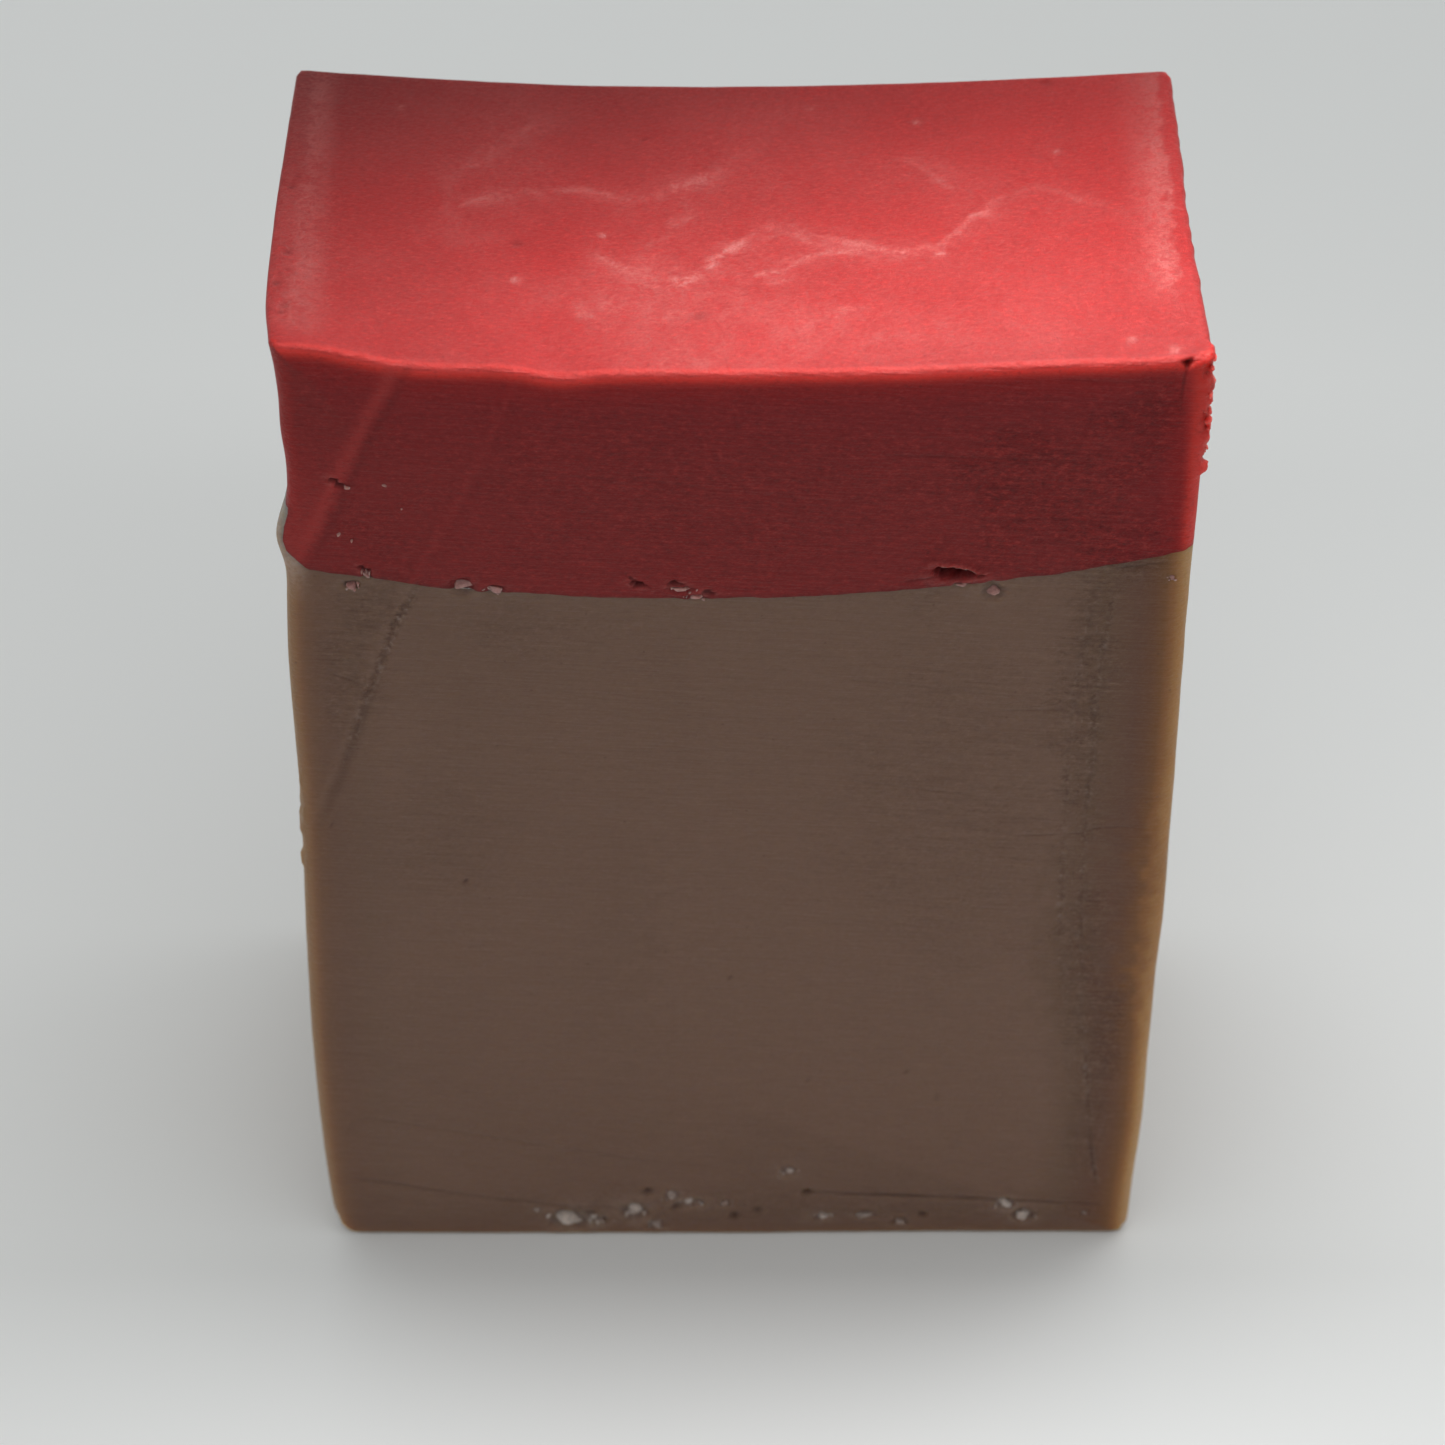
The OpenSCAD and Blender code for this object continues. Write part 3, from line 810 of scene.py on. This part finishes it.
def crumbs(found, count=9):
    """Small bits of soap scattered along the cut edge round the place of each crumb."""
    rng = np.random.default_rng(9)
    bits = []
    for centre, size in found:
        for _ in range(count):
            shift = rng.uniform((-0.15, -1.0, -0.9), (0.4, 0.6, 0.9))
            wide, tall = rng.uniform(0.25, 0.55, 2)
            bits.append((centre + shift, size, wide, tall, rng.uniform(-40, 40), 0.0))
    return bits


# ---- materials
# Slope of the wire's fine lines across the cut faces, in radians
WIRE_SLOPE = -0.06


class Shader:
    """A material's node tree, with one short call for each kind of node."""

    def __init__(self, name):
        self.material = bpy.data.materials.new(name)
        self.material.use_nodes = True
        self.tree = self.material.node_tree
        self.surface = self.tree.nodes["Principled BSDF"]
        self.place = self.math3("MULTIPLY", self.add("TexCoord").outputs["Object"], (1 / MM,) * 3)
        turn = {"Vector": self.place, "Rotation": (0.0, WIRE_SLOPE, 0.0)}
        self.tilted = self.add("Mapping", turn).outputs["Vector"]

    def put(self, socket, value):
        """Links a socket to a value that is another socket, or sets it."""
        if isinstance(value, bpy.types.NodeSocket):
            self.tree.links.new(value, socket)
        else:
            socket.default_value = value

    def add(self, kind, inputs=(), **settings):
        node = self.tree.nodes.new("ShaderNode" + kind)
        for key, value in settings.items():
            setattr(node, key, value)
        for key, value in dict(inputs).items():
            self.put(node.inputs[key], value)
        return node

    def math3(self, operation, a, b):
        return self.add("VectorMath", {0: a, 1: b}, operation=operation).outputs[0]

    def maths(self, operation, a, b=0.0, clamp=False):
        return self.add("Math", {0: a, 1: b}, operation=operation, use_clamp=clamp).outputs[0]

    def times(self, a, b):
        return self.maths("MULTIPLY", a, b)

    def noise(self, size, detail=3.0, stretch=(1, 1, 1), roughness=0.5, distortion=0.0):
        place = self.math3("MULTIPLY", self.tilted, stretch)
        inputs = {"Vector": place, "Scale": 1.0 / size, "Detail": detail, "Roughness": roughness,
                  "Distortion": distortion}
        return self.add("TexNoise", inputs).outputs["Fac"]

    def spots(self, size, low, high):
        """Small round dots, 1 inside a dot and 0 outside."""
        cell = self.add("TexVoronoi", {"Vector": self.place, "Scale": 1.0 / size})
        return self.step(cell.outputs["Distance"], high, low)

    def step(self, value, low, high, out_low=0.0, out_high=1.0):
        inputs = {"Value": value, "From Min": low, "From Max": high, "To Min": out_low, "To Max": out_high}
        return self.add("MapRange", inputs, interpolation_type="SMOOTHSTEP").outputs["Result"]

    def tones(self, place, stops):
        """Colour from a line of (place, colour) stops, with places from 0 to 1."""
        node = self.add("ValToRGB", {"Fac": place})
        ends = node.color_ramp.elements
        for (spot, colour), end in zip((stops[0], stops[-1]), (ends[0], ends[1])):
            end.position, end.color = spot, colour
        for spot, colour in stops[1:-1]:
            ends.new(spot).color = colour
        return node.outputs["Color"]

    def mask(self, name):
        return self.add("Attribute", attribute_name=name).outputs["Fac"]

    def mix(self, share, a, b, blend="MIX"):
        node = self.add("Mix", data_type="RGBA", blend_type=blend)
        self.put(node.inputs["Factor"], share)
        self.put(node.inputs[6], a)
        self.put(node.inputs[7], b)
        return node.outputs[2]

    def bump(self, height, distance, strength=1.0, under=None):
        inputs = {"Height": height, "Distance": distance * MM, "Strength": strength}
        if under is not None:
            inputs["Normal"] = under
        return self.add("Bump", inputs).outputs["Normal"]

    def finish(self, **inputs):
        for key, value in inputs.items():
            self.put(self.surface.inputs[key.replace("_", " ")], value)
        return self.material


def shaded(s, colour, tones, share, value, below, above):
    """Darkens a colour with painted shade where value is low and lightens it with painted light where it is
    high.
    """
    colour = s.mix(s.times(s.step(value, 0.5, below), share), colour, tones["shade"])
    return s.mix(s.times(s.step(value, 0.5, above), share), colour, tones["lit"])


def body_colour(s, tones, edge, grit, cut_face, side_face, coarse):
    """Mottled soap with milky rims, and painted light and shade: a glow through thin edges, lighter side
    faces, shade and light on drawn streaks, grit and ridges, shade in pinholes and dents.
    """
    lighter, darker = tones["main"], [0.9 * c for c in tones["main"][:3]] + [1]
    colour = s.mix(s.step(s.noise(14.0, 4.0), 0.3, 0.7), lighter, darker)
    # Painted glow of light shining through the thin edges, by distance from the edge
    stops = [(place / EDGE_REACH, tone) for place, tone in edge] + [(1.0, tones["main"])]
    shone = s.tones(s.maths("DIVIDE", s.mask("depth"), EDGE_REACH), stops)
    colour = s.mix(s.mask("glow"), colour, shone)
    # Painted light: the side faces made lighter
    colour = s.mix(s.times(side_face, 0.4), colour, tones["side_light"])
    # Painted shade and light on the wire's drawn streaks across the cut faces
    streaks = s.noise(0.2, 3.0, stretch=(0.07, 1.0, 1.0), distortion=0.3)
    drawn = s.times(cut_face, s.maths("ADD", s.times(coarse, 0.3), 0.1))
    colour = shaded(s, colour, tones, drawn, streaks, 0.25, 0.75)
    # Painted highlight on the shoulders of the wire's steps
    colour = s.mix(s.mask("ridge"), colour, tones["lit"])
    # Painted shade and light on pebbly grit, more where the wire roughened the soap
    pebbles = s.noise(0.24, 4.0, stretch=(0.55, 1.0, 1.0), roughness=0.75)
    share = s.maths("ADD", s.times(coarse, 0.5), grit)
    colour = shaded(s, colour, tones, share, pebbles, 0.25, 0.72)
    # Painted shade in tiny pinholes
    colour = s.mix(s.times(s.spots(1.7, 0.03, 0.07), 0.4), colour, tones["shade"])
    # Painted shade in hollows, pits, pockets and at the feet of the wire's steps
    colour = s.mix(s.times(s.mask("dent"), 0.88), colour, tones["shade"])
    milk = s.step(s.noise(0.4, 3.0, roughness=0.6), 0.3, 0.65, 0.4, 1.0)
    return s.mix(s.times(s.mask("pale"), milk), colour, tones["pale"])


def scratched(s):
    """Painted shade in the grooves of the scratched lines and their dark dots, and painted highlights on the
    lips beside them, with pale dots.
    """
    gap, etch, dotted = s.mask("scratch"), s.mask("etch"), s.mask("dotted")
    apart = s.maths("ABSOLUTE", gap)
    dots = s.noise(0.34, 2.0, roughness=0.6)
    band = s.times(s.step(apart, 0.5, 0.12), s.times(etch, dotted))
    core = s.times(s.step(apart, 0.16, 0.03), etch)
    core = s.times(core, s.maths("SUBTRACT", 1.0, s.times(dotted, 0.7)))
    groove = s.maths("MAXIMUM", core, s.times(band, s.step(dots, 0.5, 0.6)))
    beside = s.maths("ABSOLUTE", s.maths("SUBTRACT", gap, 0.2))
    lip = s.times(s.times(s.step(beside, 0.12, 0.02), etch), 0.15)
    lip = s.maths("MAXIMUM", lip, s.times(band, s.step(dots, 0.46, 0.34)))
    return groove, lip


def ash_dust(s):
    """Where the ash lies, broken into fibres and dust."""
    fibre = s.noise(1.1, 5.0, roughness=0.62, distortion=1.0)
    fibre = s.step(s.maths("ABSOLUTE", s.maths("SUBTRACT", fibre, 0.5)), 0.12, 0.0, 0.62, 1.35)
    dust = s.step(s.noise(0.2, 3.0, roughness=0.75), 0.3, 0.65, 0.5, 1.0)
    return s.maths("MULTIPLY", s.times(s.mask("ash"), fibre), dust, clamp=True)


def soap_material(name, tones, edge, reach, grit, ash=None):
    """Waxy cut soap that light travels inside, with the fine lines of the wire, and ash if given."""
    s = Shader(name)
    facing = s.add("SeparateXYZ", {0: s.add("NewGeometry").outputs["Normal"]})
    cut_face = s.step(s.maths("ABSOLUTE", facing.outputs["Y"]), 0.55, 0.85)
    side_face = s.step(s.maths("ABSOLUTE", facing.outputs["X"]), 0.6, 0.95)
    coarse = s.mask("coarse")
    colour = body_colour(s, tones, edge, grit, cut_face, side_face, coarse)
    groove, lip = scratched(s)
    # Painted shade in the scratched grooves, and a painted highlight on their lips in the pale tone
    colour = s.mix(s.times(groove, 0.85), colour, tones["shade"])
    colour = s.mix(s.times(lip, 0.45), colour, tones["pale"])

    wire = s.noise(0.22, 3.0, stretch=(0.07, 1.0, 1.0), distortion=0.2)
    waxy = s.noise(0.3, 4.0, roughness=0.65)
    height = s.times(s.maths("SUBTRACT", wire, 0.5), cut_face)
    waxy_share = s.maths("ADD", s.times(coarse, 2.0), 1.0)
    height = s.maths("ADD", height, s.times(s.maths("SUBTRACT", waxy, 0.5), waxy_share))
    normal = s.bump(s.maths("SUBTRACT", height, groove), 0.11)
    normal = s.bump(s.noise(1.6, 2.0), 0.04, under=normal)
    roughness = s.step(waxy, 0.3, 0.7, 0.42, 0.6)
    shine = 0.3
    if ash is not None:
        dust = ash_dust(s)
        # Painted light and shade on the top: the colour multiplied by its share
        painted_light = s.times(s.mask("painted_light"), 2.0)
        painted_light = s.add("CombineColor", {0: painted_light, 1: painted_light, 2: painted_light}).outputs[0]
        colour = s.mix(dust, s.mix(1.0, colour, painted_light, "MULTIPLY"), ash)
        roughness = s.maths("ADD", roughness, s.times(dust, 0.3))
        shine = s.step(facing.outputs["Z"], 0.5, 0.9, shine, 0.15)
    return s.finish(Base_Color=colour, Roughness=roughness, Normal=normal, Subsurface_Weight=0.6,
                    Subsurface_Radius=reach, Subsurface_Scale=MM, IOR=1.44, Specular_IOR_Level=shine)


def grain_material(name, bright, dull):
    """Cloudy salt grains wetted by the soap, some whiter than others."""
    s = Shader(name)
    cloud = s.step(s.noise(0.3, 4.0, roughness=0.7), 0.35, 0.65)
    white = s.mix(cloud, bright, [0.68 * c for c in bright[:3]] + [1])
    dark = s.mix(cloud, dull, [0.75 * c for c in dull[:3]] + [1])
    colour = s.mix(s.mask("white"), dark, white)
    normal = s.bump(s.noise(0.15, 3.0), 0.03)
    return s.finish(Base_Color=colour, Roughness=0.45, Normal=normal, Subsurface_Weight=0.7,
                    Subsurface_Radius=(1.0, 0.85, 0.75), Subsurface_Scale=0.6 * MM, IOR=1.5,
                    Specular_IOR_Level=0.3)


def floor_material():
    """Plain pale paper."""
    s = Shader("floor")
    cloud = s.noise(60.0, 3.0)
    colour = s.mix(cloud, (0.84, 0.845, 0.84, 1), (0.86, 0.865, 0.86, 1))
    return s.finish(Base_Color=colour, Roughness=0.6, Specular_IOR_Level=0.2)


# ---- the pieces
# Each soap's own main and pale colours, and tones for painted shade, painted light and painted light on the
# side faces; pale also paints the highlights on the scratch lips
BROWN_TONES = {"main": (0.185, 0.104, 0.072, 1), "shade": (0.08, 0.038, 0.024, 1),
               "lit": (0.27, 0.165, 0.12, 1), "pale": (0.4, 0.31, 0.26, 1), "side_light": (0.36, 0.255, 0.16, 1)}
RED_TONES = {"main": (0.214, 0.0125, 0.0125, 1), "shade": (0.08, 0.002, 0.003, 1),
             "lit": (0.38, 0.034, 0.03, 1), "pale": (0.4, 0.13, 0.12, 1), "side_light": (0.33, 0.035, 0.03, 1)}
# Painted glow of light shining through thin edges: colours by distance from a thin edge, in millimetres
BROWN_EDGE_GLOW = (
    (0.0, (0.38, 0.28, 0.18, 1)), (0.35, (0.44, 0.3, 0.15, 1)), (0.6, (0.42, 0.25, 0.11, 1)),
    (0.8, (0.37, 0.19, 0.067, 1)), (1.1, (0.28, 0.124, 0.042, 1)), (1.6, (0.193, 0.083, 0.03, 1)),
    (2.3, (0.157, 0.068, 0.034, 1)), (3.2, (0.142, 0.067, 0.042, 1)), (5.5, (0.158, 0.088, 0.057, 1)),
)
RED_EDGE_GLOW = (
    (0.0, (0.6, 0.09, 0.08, 1)), (0.35, (0.62, 0.065, 0.055, 1)), (0.8, (0.54, 0.028, 0.018, 1)),
    (1.1, (0.36, 0.012, 0.01, 1)), (1.4, (0.262, 0.004, 0.005, 1)), (3.0, (0.208, 0.006, 0.008, 1)),
)
THIN_ASH = (0.34, 0.12, 0.11, 1)

seam_grains = with_looks(islands("seam_grains"), SEAM_LOOKS)
foot_grains = with_looks(islands("foot_grains"), FOOT_LOOKS)
top_flecks = with_looks(islands("top_flecks"), FLECK_LOOKS)
edge_crumbs = crumbs(islands("edge_crumbs"))
front_grains = [grain for grain in seam_grains + foot_grains + top_flecks if grain[0][1] < IN_FRONT]

brown = soap_material("base_soap", BROWN_TONES, BROWN_EDGE_GLOW, (3.0, 1.6, 0.6), 0.16)
red = soap_material("top_soap", RED_TONES, RED_EDGE_GLOW, (2.2, 0.6, 0.5), 0.4, THIN_ASH)
salt = grain_material("pale_grain", (0.56, 0.47, 0.42, 1), (0.27, 0.185, 0.155, 1))
pink_salt = grain_material("pink_grain", (0.6, 0.3, 0.28, 1), (0.33, 0.17, 0.15, 1))
seam_chips = fragments(seam_grains, 15)
foot_chips = fragments(foot_grains, 16)
pieces = (
    (layer_mesh("base_pour", False, front_grains), "base_layer", "base_soap", brown),
    (layer_mesh("top_pour", True, front_grains), "top_layer", "top_soap", red),
    (grain_piece("seam_crystals", seam_grains + seam_chips, 5), "seam_grains", "pale_grain", pink_salt),
    (grain_piece("foot_crystals", foot_grains + foot_chips, 6), "foot_grains", "pale_grain", salt),
    (grain_piece("fleck_crystals", top_flecks, 7), "top_flecks", "pale_grain", pink_salt),
    (grain_piece("crumbs", edge_crumbs, 8), "edge_crumbs", "top_soap", red),
)
for piece, node, slot, material in pieces:
    piece.data.materials.append(material)
    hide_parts(node)
    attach(piece, "root")

# ---- floor, light and camera
# Half the floor's width, in metres
FLOOR_HALF = 4.0
floor_mesh = bpy.data.meshes.new("floor")
floor_corners = [(sx * FLOOR_HALF, sy * FLOOR_HALF, 0) for sx, sy in ((-1, -1), (1, -1), (1, 1), (-1, 1))]
floor_mesh.from_pydata(floor_corners, [], [(0, 1, 2, 3)])
floor = bpy.data.objects.new("floor", floor_mesh)
put_in_scene(floor)
floor_mesh.materials.append(floor_material())


def area_light(name, place, target, size, power, spread=180.0):
    """A soft lamp in metres and watts that the camera doesn't see."""
    lamp = bpy.data.lights.new(name, "AREA")
    lamp.shape = "RECTANGLE"
    lamp.size, lamp.size_y = size
    lamp.energy = power
    lamp.spread = math.radians(spread)
    light = bpy.data.objects.new(name, lamp)
    light.location = place
    direction = Vector(target) - Vector(place)
    light.rotation_euler = direction.to_track_quat("-Z", "Y").to_euler()
    light.visible_camera = False
    put_in_scene(light)


# Daylight from all round, a window behind, lamps above and at the right, two strips over the front edge
LAMP_RIM = RIM * MM
STRIP_SPREAD = 140.0
area_light("window", (0.0, 0.35, 0.5), (0.0, 0.0, 0.04), (0.6, 0.3), 0.0625)
area_light("ceiling", (-0.08, 0.12, 0.6), (0.0, 0.0, 0.0), (0.2, 0.2), 0.168)
area_light("side", (0.1, 0.05, LAMP_RIM + 0.05), (0.02, 0.0, LAMP_RIM - 0.01), (0.06, 0.06), 0.0141)
area_light("long_strip", (0.002, -0.011, LAMP_RIM + 0.03), (0.002, -0.016, LAMP_RIM), (0.066, 0.008), 0.016,
           STRIP_SPREAD)
area_light("short_strip", (0.022, -0.01, LAMP_RIM + 0.03), (0.022, -0.016, LAMP_RIM), (0.036, 0.01), 0.0148,
           STRIP_SPREAD)

world = bpy.data.worlds.new("studio")
world.use_nodes = True
sky = world.node_tree.nodes["Background"].inputs
sky["Color"].default_value = (0.96, 0.985, 0.98, 1)
sky["Strength"].default_value = 0.614
bpy.context.scene.world = world
bpy.context.scene.view_settings.view_transform = "Standard"

# The view, in millimetres and degrees: a long lens above the bar, tilted down at its front
CAMERA_PLACE = (-4.17, FRONT - 210.8, 223.0)
CAMERA_TILT = 39.72
CAMERA_ROLL = 0.57
CAMERA_TURN = -0.88
FOCUS = 266.0
camera_data = bpy.data.cameras.new("camera")
camera_data.sensor_width = 36.0
camera_data.lens = 105.5
camera_data.clip_start = 0.01
camera_data.dof.use_dof = True
camera_data.dof.focus_distance = FOCUS * MM
camera_data.dof.aperture_fstop = 50.0
camera = bpy.data.objects.new("camera", camera_data)
tilt, roll, turn = (math.radians(angle) for angle in (CAMERA_TILT, CAMERA_ROLL, CAMERA_TURN))
camera.matrix_world = (Matrix.Translation(Vector(CAMERA_PLACE) * MM)
                       @ Matrix.Rotation(turn, 4, "Z") @ Matrix.Rotation(math.pi / 2 - tilt, 4, "X")
                       @ Matrix.Rotation(roll, 4, "Z"))
put_in_scene(camera)
bpy.context.scene.camera = camera
